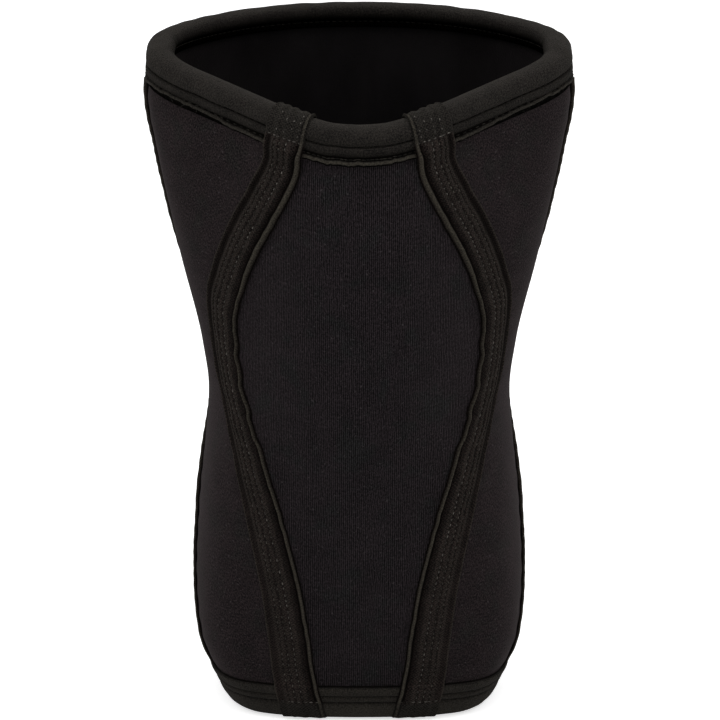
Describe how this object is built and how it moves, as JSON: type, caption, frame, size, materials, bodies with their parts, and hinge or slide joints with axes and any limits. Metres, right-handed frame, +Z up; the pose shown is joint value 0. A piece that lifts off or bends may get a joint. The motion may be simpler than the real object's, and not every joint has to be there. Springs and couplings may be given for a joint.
{
  "type": "knee sleeve",
  "caption": "Padded cloth sleeve for the knee, open at both ends, with raised stitched seam tapes and bound rims.",
  "frame": {"origin": "on the ground, below the middle of the sleeve's box", "axes": "+Z up the leg, from the calf opening to the thigh opening; -Y out of the front of the knee; +X to the right seen from the front"},
  "size_m": [0.1658, 0.1208, 0.27],
  "materials": {
    "ribbed_cloth": "black jersey over foam rubber, fine upright ribs",
    "smooth_cloth": "smooth black jersey over foam rubber",
    "binding_cloth": "black stretch binding, soft and matt",
    "tape_cloth": "black seam tape, close-stitched, matt"
  },
  "bodies": {
    "root": {"front_panel": "ribbed_cloth", "side_panel_left": "smooth_cloth", "side_panel_right": "smooth_cloth", "rear_panel": "smooth_cloth", "top_binding": "binding_cloth", "bottom_binding": "binding_cloth", "front_seam_tape_left": "tape_cloth", "front_seam_tape_right": "tape_cloth", "rear_seam_tape_left": "tape_cloth", "rear_seam_tape_right": "tape_cloth"}
  },
  "joints": []
}
